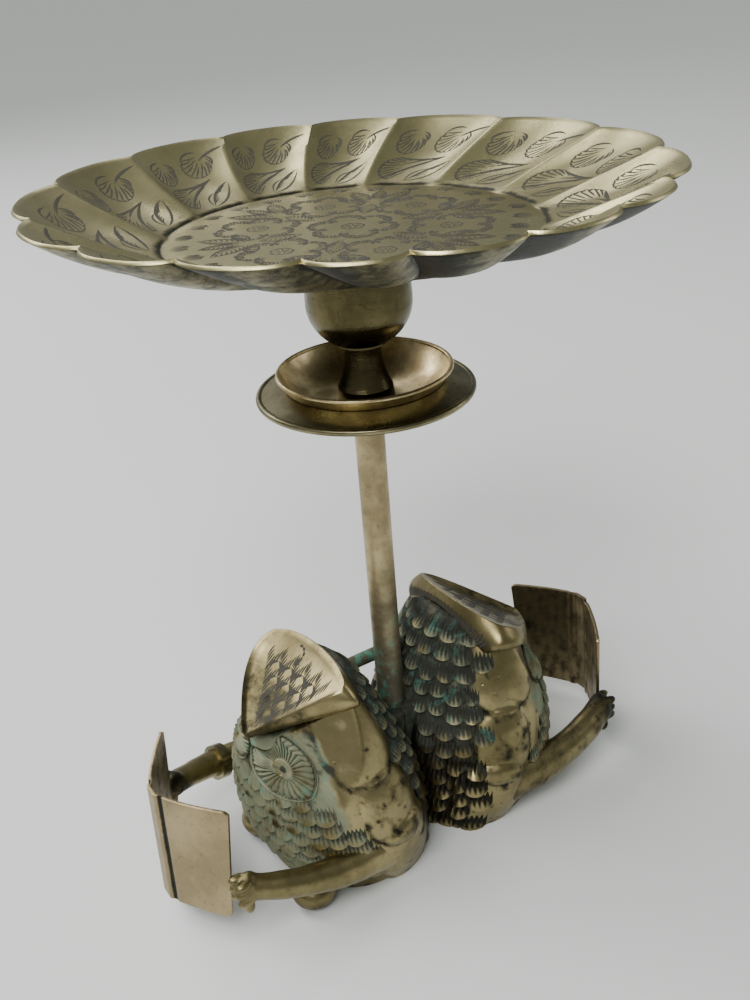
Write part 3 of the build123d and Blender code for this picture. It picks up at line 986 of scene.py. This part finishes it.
def body_grime_and_shade(point):
    turn, height = body_place(point)
    reaches = [pillow_reach(turn, height, p) for p in pillows[:2] if height < p[1]]
    # painted shade along the folds where two pillows meet
    edges = [0.0, *(0.62 * exp(-(((reach - 1) / 0.30) ** 2)) for reach in reaches)]
    # painted shade on the back, between the two owls
    back = 0.8 * min(1.0, max(0.0, (abs(turn) - 118) / 10))
    skin = owl_skin(turn, height)
    middle = Vector((-oval_at(height)[0], 0, height))
    # painted shade in the recess under the crown
    inside = (skin - middle).length - (point / MM - middle).length > 2.2 and (skin - beak).dot(crown_out) < -9
    worn = 0.22 * wander(point / MM, 9.0)
    large_stains = max(0.0, wander(point / MM, 6.5) - 0.20)
    small_stains = max(0.0, wander(point / MM * 1.1, 3.1) - 0.30)
    stain = 1.3 * large_stains + 1.3 * small_stains
    # darker over the face and on the lower wing
    face = 0.30 * (abs(turn) < 62 and height > 56)
    face = max(face, 0.34 * (pillow_reach(turn, height, pillows[1]) < 1))
    return 0.8 if inside else max(0.0, min(1.0, max(*edges, back, face) + worn + stain))


def body_salts(point):
    turn, height = body_place(point)
    breast = 0.85 * min(1.0, max(0.0, (70 - abs(turn)) / 8)) * min(1.0, max(0.0, (79 - height) / 6))
    back = 0.75 * min(1.0, max(0.0, (abs(turn) - 118) / 10)) * min(1.0, max(0.0, (height - 30) / 30))
    return max(0.0, max(breast, back) + 0.55 * wander(point / MM, 11.0))


paint(left_owl, "grime", body_grime_and_shade)
paint(left_owl, "patina", body_salts)


# %% [markdown]
# One feather is a tongue of metal with raised ribs, sunk into the body at its root and lifted at its tip.
# It is modelled once on a small grid, and its copies are bent round the body by the owl's rule, each row
# hanging over the one below it as tiles do. They are joined in one mesh.

# %% One feather
feather_columns = 10
feather_rows = 5
blank = start("feather_pattern", bpy.ops.mesh.primitive_grid_add, x_subdivisions=feather_columns,
              y_subdivisions=feather_rows, size=2)


def tongue(point):
    """Shape of a feather one unit wide and long; z is its thickness, in the same unit."""
    across, way = point.x, (1 - point.y) / 2
    last = way > 0.99
    way = min(1.0, way * feather_rows / (feather_rows - 1))
    tip = sqrt(max(0.0, 1 - 0.85 * across * across))
    rib = 0.035 * (-1) ** round((across + 1) * feather_columns / 2) * (0.15 < way < 0.95)
    lift = -0.06 + 0.27 * way * (1 - 0.55 * across * across) + rib
    narrow = 1 - 0.12 * (1 - way)
    return Vector((across / 2 * narrow, -way * (0.55 + 0.45 * tip), -0.06 if last else lift))


move_points(blank, tongue)
feather_points = [point.co.copy() for point in blank.data.vertices]
feather_faces = [tuple(face.vertices) for face in blank.data.polygons]
bpy.data.objects.remove(blank)


class Plumage:
    """Feathers that are laid on the owl and gathered in one mesh, each with its own wear, patina and painted
    shade between its ribs.
    """

    def __init__(self):
        self.points = []
        self.faces = []
        self.grime = []
        self.salts = []

    def feather(self, turn, height, width, length, salts, darkness, shine=1.15):
        """Lay one feather with its root at a place of the skin."""
        first = len(self.points)
        per_degree = owl_frame(turn, height - length / 2)[1].length
        for flat in feather_points:
            across, way, rise = flat.x * width, flat.y * length, flat.z * width
            here, _, _, out = owl_frame(turn + across / per_degree, max(0.5, height + way))
            here = here + out * rise
            here.x = min(here.x, -joint_gap)
            self.points.append(here * MM)
            tip = min(1.0, max(0.0, flat.z * 8 - 0.7))
            # painted shade in the furrows between the ribs
            furrow = 0.30 * ((round((flat.x + 0.5) * feather_columns) % 2) == 1) * (flat.y > -0.8)
            self.grime.append(max(0.0, min(1.0, darkness * (1.0 - tip * shine) + furrow * darkness)))
            self.salts.append(max(0.0, salts * (1.1 - 0.5 * tip) + 0.4 * wander(here, 7.0)))
        self.faces += [tuple(first + corner for corner in face) for face in feather_faces]

    def make(self, name):
        mesh = bpy.data.meshes.new(name)
        mesh.from_pydata(self.points, [], self.faces)
        made = bpy.data.objects.new(name, mesh)
        bpy.context.scene.collection.objects.link(made)
        paint_list(made, "grime", self.grime)
        paint_list(made, "patina", self.salts)
        return made


# %% [markdown]
# Small feathers cover the breast and the nape, larger ones the back down to the thighs. Nothing is laid
# where the stem stands, nor on the polished shoulder, wing and thigh.

# %% Lay the plumage
coat = Plumage()
first_row, row_step = 12.0, 7.4
for row in range(12):
    height = first_row + row * row_step
    low_down = max(0.0, 1 - height / 60)
    width = 9.6 + 3.4 * low_down
    side_edge = 121 + 5 * sin(row * 1.7)
    per_degree = owl_frame(150, height)[1].length
    count = round((360 - 2 * side_edge) * per_degree / (width * 0.86))
    for place_in_row in range(count):
        turn = side_edge + (360 - 2 * side_edge) * (place_in_row + 0.5 * (row % 2)) / count
        root = owl_skin(turn, height - 4)
        if hypot(root.x, root.y) < 10 and height > 44:
            continue
        salts = 0.85 * min(1.0, max(0.0, (height - 34) / 26))
        shine = 1.30 - 0.62 * min(1.0, max(0.0, (height - 26) / 26)) + 0.12 * sin(turn * 7.3 + row)
        coat.feather(turn, height + 1.2 * sin(turn * 0.3), width, width * 0.98, salts, 0.96, shine)
for row in range(8):
    height = 19.0 + row * 5.6
    side_edge = 79 - 8 * max(0, row - 3)
    per_degree = owl_frame(30, height)[1].length
    count = round(2 * side_edge * per_degree / 8.2)
    for place_in_row in range(count):
        turn = -side_edge + 2 * side_edge * (place_in_row + 0.5 * (row % 2)) / count
        coat.feather(turn, height, 9.4, 9.0, 1.0 - 0.006 * abs(turn), 0.26 + 0.006 * abs(turn), 1.0)
left_coat = coat.make("left_owl_feathers")
print(len(coat.faces) // len(feather_faces), "feathers on one owl")


# %% [markdown]
# The crown is a thick dished plate, pointed at the beak and rounded at the ears. It starts as a cube with
# many cuts: one direction becomes the way from beak to ears, one the way across, and one the depth. Its
# sides hang down as heavy brows over the eyes, and a thin crest runs along both edges of the plate.

# %% The crown
crown_cuts = 44


def crown_point(share, across, depth_share):
    """A point of the crown, in millimetres: share from beak to ears, across from -1 to 1, depth 0 to 1."""
    run = share * (crown_run + 5.0 * (1 - across * across)) - 2.4 * abs(across) ** 8 * share ** 6
    half = crown_edge(run, across) * (1 - 0.05 * share ** 10)
    thick = 2.2 + (11.8 * share ** 1.1) * (0.32 + 0.68 * across * across)
    crest = 1.5 * exp(-(((1 - abs(across)) * half / 1.4) ** 2)) * (1 - share ** 6)
    dish = 2.0 * (1 - across * across) * sin(pi * min(1.0, share * 1.05)) ** 0.7
    depth = (dish - crest) * (1 - depth_share) + thick * depth_share
    flare = 1 + 0.19 * sin(pi * min(1.0, depth_share * 0.85)) * abs(across) ** 3
    shrink = 1 - 0.10 * depth_share ** 3
    return beak + crown_along * run + Vector((0, across * half * flare * shrink, 0)) - crown_out * depth


crown = start("left_owl_crown", bpy.ops.mesh.primitive_cube_add, size=2)
edit()
bpy.ops.mesh.select_all(action="SELECT")
bpy.ops.mesh.subdivide(number_cuts=crown_cuts)
done()
move_points(crown, lambda p: crown_point((p.x + 1) / 2, p.y, (1 - p.z) / 2) * MM)
edit()
bpy.ops.mesh.select_all(action="SELECT")
bpy.ops.mesh.normals_make_consistent(inside=False)
done()
modify(crown, "SMOOTH", factor=0.5, iterations=2)


def crown_grime_and_shade(point):
    """Painted shade low on the brow, under the plate; darker in the chased front and just past the ears; worn
    bright on the rest of the top.
    """
    # painted shade: the lower a point hangs under the plate, the darker
    depth = -(point / MM - beak).dot(crown_out)
    back = max(0.0, (point / MM - beak).dot(crown_along) - crown_run - 1.5) / 5
    along = (point / MM - beak).dot(crown_along)
    worked = 0.40 * (depth < 3.5) * min(1.0, max(0.0, (30 - along) / 8))
    haze = 0.16 + max(0.0, 0.25 * wander(point / MM, 6.0))
    return min(0.85, max(0.0, (depth - 4.5) / 12) * 0.6 + back * 0.3 + worked + haze)


paint(crown, "grime", crown_grime_and_shade)
paint(crown, "patina", lambda p: 0.0)


# %% [markdown]
# The eye is a rosette: a dome with a sunk rim and a ring of ribs that run out from a small pupil. A disc
# is built from rings by extruding its edge outwards, then each point is laid on the skin.

# %% Eyes and toes
eye_turn = 31
eye_height = 64.5
eye_size = 0.93
spokes = 34
eye_rings = (1.6, 2.6, 3.4, 4.4, 6.5, 9.0, 11.0, 11.8, 12.5)
eye_heights = (0.9, 0.9, 1.9, 1.9, 1.2, 2.2, 2.3, 1.6, 0.5, 1.9)
eye_rise = dict(zip((0.8, *eye_rings), eye_heights))


def eye(side):
    """One rosette laid on the skin, on the near side for -1 and the far side for 1."""
    made = start("eye", bpy.ops.mesh.primitive_circle_add, vertices=spokes * 4, radius=0.8,
                 fill_type="TRIFAN")
    edit("EDGE")
    reach = 0.8
    for radius in eye_rings:
        bpy.ops.mesh.select_all(action="DESELECT")
        bpy.ops.mesh.select_non_manifold()
        bpy.ops.mesh.extrude_edges_move()
        bpy.ops.transform.resize(value=(radius / reach, radius / reach, 1), center_override=(0, 0, 0))
        reach = radius
    done()
    per_degree = owl_frame(side * eye_turn, eye_height)[1].length
    dark = []

    def lay(point):
        radius = hypot(point.x, point.y)
        wave = cos(atan2(point.y, point.x) * spokes)
        nearest = min(eye_rise, key=lambda r: abs(r - radius))
        ribs = 0.45 * wave * (4.0 < radius < 11.5)
        flat = point * eye_size
        here, _, _, out = owl_frame(side * eye_turn + flat.x / per_degree, eye_height + flat.y)
        rise = eye_rise[nearest] + ribs - 0.6
        # painted shade in the valleys between the ribs, in the pupil and in the sunk rim
        dark.append(min(1.0, max(0.0, 0.20 - ribs * 1.0 + (nearest in (0.8, 11.8)) * 0.7)))
        return (here + out * rise) * MM

    move_points(made, lay)
    paint_list(made, "grime", dark)
    paint(made, "patina", lambda p: 0.75 + 0.5 * wander(p / MM, 5.0))
    edit()
    bpy.ops.mesh.select_all(action="SELECT")
    bpy.ops.mesh.flip_normals()
    done()
    return made


def toe(side):
    """A round toe that peeps out under the breast."""
    place_mm = (-65, -31, 7.3) if side < 0 else (-62, 20, 7.3)
    made = start("toe", bpy.ops.mesh.primitive_uv_sphere_add, segments=32, ring_count=20, radius=8.6 * MM,
                 scale=(1.12, 1.12, 0.85), location=[c * MM for c in place_mm])
    # painted shade, darker towards the bottom where the toe meets the floor
    paint(made, "grime", lambda p: 0.25 + 0.5 * max(0.0, 1 - p.z / (9 * MM)))
    paint(made, "patina", lambda p: 0.1)
    return made


left_extras = [eye(-1), eye(1), toe(-1), toe(1)]


# %% [markdown]
# Both castings carry half of the block that the stem stands in. It is a plain cube with rounded edges,
# bored from above for the stem, right through for the tie rod, and from below for the nut.

# %% Socket block
def bored(made, radius, low, high):
    """Bore a round hole on the axis of the stem."""
    drill = start("drill", bpy.ops.mesh.primitive_cylinder_add, vertices=64, radius=radius * MM,
                  depth=(high - low) * MM, location=(0, 0, (high + low) / 2 * MM))
    modify(made, "BOOLEAN", object=drill, operation="DIFFERENCE", solver="EXACT")
    bpy.data.objects.remove(drill)


block = start("socket_block", bpy.ops.mesh.primitive_cube_add, size=1, location=(-5.5 * MM, 0, 28 * MM),
              scale=(11 * MM, 22 * MM, 56 * MM))
modify(block, "BEVEL", width=1.5 * MM, segments=3)
bores = [                           # radius, then from and to which height
    (3.3, -1, 60),                  # the tie rod, right through
    (6.05, 46, 60),                 # the stem's socket
    (7.6, -1, 13),                  # the recess for the nut and its washer
]
for bore in bores:
    bored(block, *bore)
# near black all over
paint(block, "grime", lambda p: 0.85)
paint(block, "patina", lambda p: 0.9 * max(0.0, (p.z / MM - 36) / 20) + 0.4 * wander(p / MM, 8.0))


# %% [markdown]
# The pieces of the left owl are joined, because a casting is one piece of metal. The right owl is the same
# casting turned round the stem, so it is a copy with its own mesh, turned by half a turn.

# %% Two owls
def join(first, others):
    """Join other pieces into the first."""
    bpy.ops.object.select_all(action="DESELECT")
    for piece in (first, *others):
        piece.select_set(True)
    bpy.context.view_layer.objects.active = first
    bpy.ops.object.join()


join(left_owl, [left_coat, crown, block, *left_extras])
smooth(left_owl, 48)


def turned_copy(made, name):
    """A copy with its own mesh, turned by half a turn round the stem."""
    twin = made.copy()
    twin.data = made.data.copy()
    twin.name = name
    bpy.context.scene.collection.objects.link(twin)
    twin.data.transform(Matrix.Rotation(pi, 4, "Z"))
    return twin


right_owl = turned_copy(left_owl, "right_owl")
give(left_owl, owl_finish, "stand", "left_owl_body", slot="owl_brass")
give(right_owl, owl_finish, "stand", "right_owl_body", slot="owl_brass")


# %% [markdown]
# The chaser also worked on the owls: pointed scales with hatching fill the front of the crown, a fringe of
# short strokes runs under its back edge, and one small pit with a curl is left on the smooth part.

# %% Chasing on the crowns
def crown_skin(x, y):
    """A place on the plate, from the beak along x and across y, and the direction out of it."""
    share = min(0.98, max(0.01, x / (crown_run + 3)))
    across = min(0.97, max(-0.97, y / crown_edge(x, y)))
    return crown_point(share, across, 0.0) * MM, crown_out


scales = Engraving("left_crown_chasing", crown_skin, 1.55)
scales.probe = (20, 0)
scale_size = 7.2
near_way = Vector((crown_run, -crown_half * 0.90)).normalized() * scale_size
far_way = Vector((crown_run * 0.82, crown_half * 1.10)).normalized() * scale_size
for i in range(5):
    for j in range(5 - i):
        root = Vector((3.0, 0)) + near_way * i + far_way * j
        tip = root + near_way + far_way
        left, back = root + far_way, root + near_way
        outer = i + j > 3
        if not outer:
            scales.cut(left, tip, 0.20, 1.25)
            scales.cut(back, tip, -0.20, 1.25)
        for stroke in range(7):
            share = (stroke + 0.7) / 7
            begin = root.lerp(left, share) if stroke % 2 else root.lerp(back, share)
            run = (tip - root) * (0.62 if outer else 0.55)
            scales.cut(begin + run * 0.12, begin + run, 0.05, 0.62)
scales.arc((35.0, 6.0), 0.7, 0, 360, 5, 1.4)
scales.arc((37.0, 10.0), 4.4, -110, 20, 4, 0.9)
left_chasing = scales.make(body="stand", slot="owl_brass")


def nape_skin(x, y):
    """A place on the back of the plate: x across it, y down it."""
    share = min(0.97, max(-0.97, x / crown_half))
    return crown_point(1.0, share, min(0.95, max(0.1, y / 7.5))) * MM + crown_along * 0.2 * MM, crown_along


fringe = Engraving("left_nape_chasing", nape_skin, 1.0)
fringe.probe = (0, 3)
for stroke in range(54):
    x = -26.0 + stroke * 52 / 53
    fringe.cut((x, 4.4 + 0.5 * sin(stroke * 2.3)), (x + 0.5, 7.6), 0.05, 0.8)
left_fringe = fringe.make(body="stand", slot="owl_brass")
right_fringe = turned_copy(left_fringe, "right_nape_chasing")
give(right_fringe, cut_finish, "stand", slot="owl_brass")
right_chasing = turned_copy(left_chasing, "right_crown_chasing")
give(right_chasing, cut_finish, "stand", slot="owl_brass")


# %% [markdown]
# A forearm leaves the elbow low on the side of each owl and swings forward to the book. It is a grid that
# its rule rolls round a curve, thick and tall at the elbow and round at the wrist, and the hand is a few
# lumps pressed over the edge of the cover, as fingers would be.

# %% Arms and hands
wrist_place = (95.5, 35.3, 32.0)
arm_middles = {-1: (60.0, 42.5), 1: (62.0, 47.5)}   # the near arms lie closer to the breast
arm_rings = 48


def curve(begin, middle, end, share):
    """A place on the curve that passes through three points."""
    pull = middle * 2 - (begin + end) / 2
    return begin * (1 - share) ** 2 + pull * 2 * share * (1 - share) + end * share ** 2


def lump(place_mm, half):
    """An egg-shaped lump with its three half sizes."""
    made = start("lump", bpy.ops.mesh.primitive_uv_sphere_add, segments=28, ring_count=18, radius=1)
    move_points(made, lambda p: Vector([c + v * h for c, v, h in zip(place_mm, p, half)]) * MM)
    return made


def arm(name, owl_side, hand_side, lift, elbow, tall, deep):
    """One forearm with its hand; owl_side is -1 for the left owl, hand_side -1 for the near hand."""
    begin = Vector(elbow) + Vector((0, 0, lift * 0.15))
    wrist = Vector(wrist_place) + Vector((0, 0, lift))
    middle = Vector((*arm_middles[hand_side], 23.0 + lift / 2))
    made = start(name, bpy.ops.mesh.primitive_grid_add, x_subdivisions=36, y_subdivisions=arm_rings, size=2)

    def sleeve(point):
        share = min(1.0, max(0.0, (point.y + 1) / 2 * 1.08 - 0.04))
        closing = max(0.0, abs(point.y) * 1.08 - 1.0) / 0.08
        here = curve(begin, middle, wrist, share)
        beyond = curve(begin, middle, wrist, share + 0.01)
        ahead = (beyond - curve(begin, middle, wrist, share - 0.01)).normalized()
        outward = Vector((ahead.y, -ahead.x, 0)).normalized() * -1
        upright = outward.cross(ahead)
        high = tall[0] + (tall[1] - tall[0]) * share ** 0.6 + (tall[2] - tall[1]) * share ** 5
        wide = deep[0] + (deep[1] - deep[0]) * share
        ring = pi * point.x
        ring_share = sqrt(max(0.0, 1 - closing * closing))
        uneven = 1 + 0.02 * sin(share * 17 + lift) + 0.012 * sin(share * 41)
        here += (outward * cos(ring) * wide + upright * sin(ring) * high) * ring_share * uneven
        return here * MM

    move_points(made, sleeve)
    edit()
    bpy.ops.mesh.select_all(action="SELECT")
    bpy.ops.mesh.remove_doubles(threshold=0.02 * MM)
    bpy.ops.mesh.normals_make_consistent(inside=False)
    done()
    x, y, z = wrist
    lumps = [lump((x - 1.0, y - 0.5, z), (4.8, 4.4, tall[2] + 0.8))]
    for finger in range(3):
        lumps.append(lump((x + 3.2, y - 2.6, z - 4.2 + 4.2 * finger), (3.8, 2.2, 2.0)))
        lumps.append(lump((x + 2.6, y + 3.0, z - 4.2 + 4.2 * finger), (4.0, 2.2, 2.0)))
    lumps.append(lump((x + 1.0, y + 1.0, z - tall[2] - 3.0), (2.6, 2.6, 4.0)))
    join(made, lumps)
    modify(made, "REMESH", mode="VOXEL", voxel_size=0.75 * MM)
    modify(made, "SMOOTH", factor=0.5, iterations=6)
    made.data.transform(Matrix.Diagonal((owl_side, hand_side, 1, 1)))
    if owl_side * hand_side < 0:
        made.data.flip_normals()
    smooth(made, 60)

    # darker round the hand, towards the bottom, in random blotches, and on all of the right owl's arms
    def darkness(point):
        flat = Vector((abs(point.x), abs(point.y), point.z)) / MM
        near_hand = exp(-(((flat - wrist).length / 9) ** 2))
        below = min(1.0, max(0.0, (20 - flat.z) / 16))
        blotch = max(0.0, wander(point / MM, 7.0) * 0.8) * (0.9 if hand_side > 0 else 0.3)
        return min(0.95, 0.62 * near_hand + 0.22 * below + blotch + 0.42 * (owl_side > 0))

    paint(made, "grime", darkness)
    paint(made, "patina", lambda p: max(0.0, 0.35 * wander(p / MM, 12.0) - 0.05))
    return made


wide_elbow, slim_elbow = (21.0, 37.0, 17.5), (34.0, 42.0, 22.0)
arms = [    # name, owl, hand, lift, elbow, half heights at elbow, middle and wrist, half depths at both ends
    ("left_near_arm", -1, -1, 0.0, wide_elbow, (11.5, 4.8, 5.6), (8.0, 4.6)),
    ("left_far_arm", -1, 1, 3.0, slim_elbow, (8.0, 5.6, 5.4), (8.0, 5.0)),
    ("right_near_arm", 1, -1, -5.5, wide_elbow, (12.0, 6.5, 7.0), (8.0, 6.0)),
    ("right_far_arm", 1, 1, -1.0, slim_elbow, (8.0, 5.6, 5.4), (8.0, 5.0)),
]
for name, *values in arms:
    give(arm(name + "_and_hand", *values), owl_finish, "stand", name, slot="owl_brass")


# %% [markdown]
# A book is one strip of brass, folded twice along its narrow spine. The strip is a grid: across the sheet
# the rule walks from one cover over the spine to the other, and upwards it follows the slight lean. The
# line beside the spine is pressed in, the corners of the covers are rounded and the cut edges bevelled.

# %% Books
book_spine_depth = 117.0
book_spine_half = 3.0
book_cover = 34.0
book_half_angle = radians(57)
book_tall = 56.0
book_lean = radians(-2)
book_sheet = 1.5
book_columns = 120
book_rows = 56


def book_line(run):
    """A place on the strip's middle line: the run is measured from the middle of the spine."""
    side = 1 if run > 0 else -1
    over = abs(run) - book_spine_half
    if over <= 0:
        return Vector((book_spine_depth, run))
    bow = 0.9 * sin(pi * over / book_cover)
    depth = book_spine_depth - over * cos(book_half_angle) + bow * sin(book_half_angle)
    span = book_spine_half + over * sin(book_half_angle) + bow * cos(book_half_angle)
    return Vector((depth, side * span))


def book(name, side, foot):
    """One open book in front of an owl; side is -1 for the left owl, foot the height of its lower edge."""
    made = start(name, bpy.ops.mesh.primitive_grid_add, x_subdivisions=book_columns,
                 y_subdivisions=book_rows, size=2)
    dark = []

    def fold(point):
        run = point.x * (book_spine_half + book_cover)
        run *= 1 - 0.12 * abs(point.x) * (1 - point.y) / 2
        ahead = book_line(run + 0.2) - book_line(run - 0.2)
        out = Vector((ahead.y, -ahead.x)).normalized()
        groove = exp(-(((abs(run) - book_spine_half - 2.4) / 1.6) ** 4))
        flat = book_line(run) - out * 0.55 * groove
        corner = max(0.0, abs(point.x) - 0.93) / 0.07
        up = (point.y + 1) / 2 * book_tall
        up += -(point.y) ** 21 * 1.6 * corner ** 2 + 0.5 * sin(point.x * 3 + side) * (point.y > 0)
        depth = flat.x - sin(book_lean) * up * -1
        # painted shade in the pressed line beside the spine
        dark.append(groove)
        return Vector((side * depth, flat.y, foot + up)) * MM

    move_points(made, fold)
    if side < 0:
        made.data.flip_normals()
    paint_list(made, "grime", dark)
    modify(made, "SOLIDIFY", thickness=book_sheet * MM, offset=0.0, use_even_offset=True)
    modify(made, "BEVEL", width=0.4 * MM, segments=2, limit_method="ANGLE", angle_limit=radians(70))
    smooth(made, 50)
    layer = made.data.attributes["grime"]
    for point in made.data.vertices:
        run_side = Vector((abs(point.co.x) / MM, abs(point.co.y) / MM))
        over = (run_side.y - book_spine_half) / sin(book_half_angle)
        cover = book_spine_depth - max(0.0, over) * cos(book_half_angle)
        bow = 0.9 * sin(pi * min(1.0, max(0.0, over / book_cover)))
        line = cover + bow * sin(book_half_angle) + sin(book_lean) * (point.co.z / MM - foot)
        inside = run_side.x < line - 0.1
        streak = 0.25 * wander((point.co.x / MM * 3, point.co.y / MM * 3, point.co.z / MM), 9.0)
        clean = 0.04 + max(0.0, 0.3 * wander(point.co / MM, 13.0))
        base = layer.data[point.index].value
        # the inside of the covers darker, with streaks; the outside keeps the pressed line's painted shade
        # and light random marks
        layer.data[point.index].value = 0.50 + streak if inside else max(base, clean)
    paint(made, "patina", lambda p: 0.0)
    return made


give(book("left_open_book", -1, 12.5), book_finish, "stand", "left_book", slot="book_brass")
give(book("right_open_book", 1, 7.5), book_finish, "stand", "right_book", slot="book_brass")
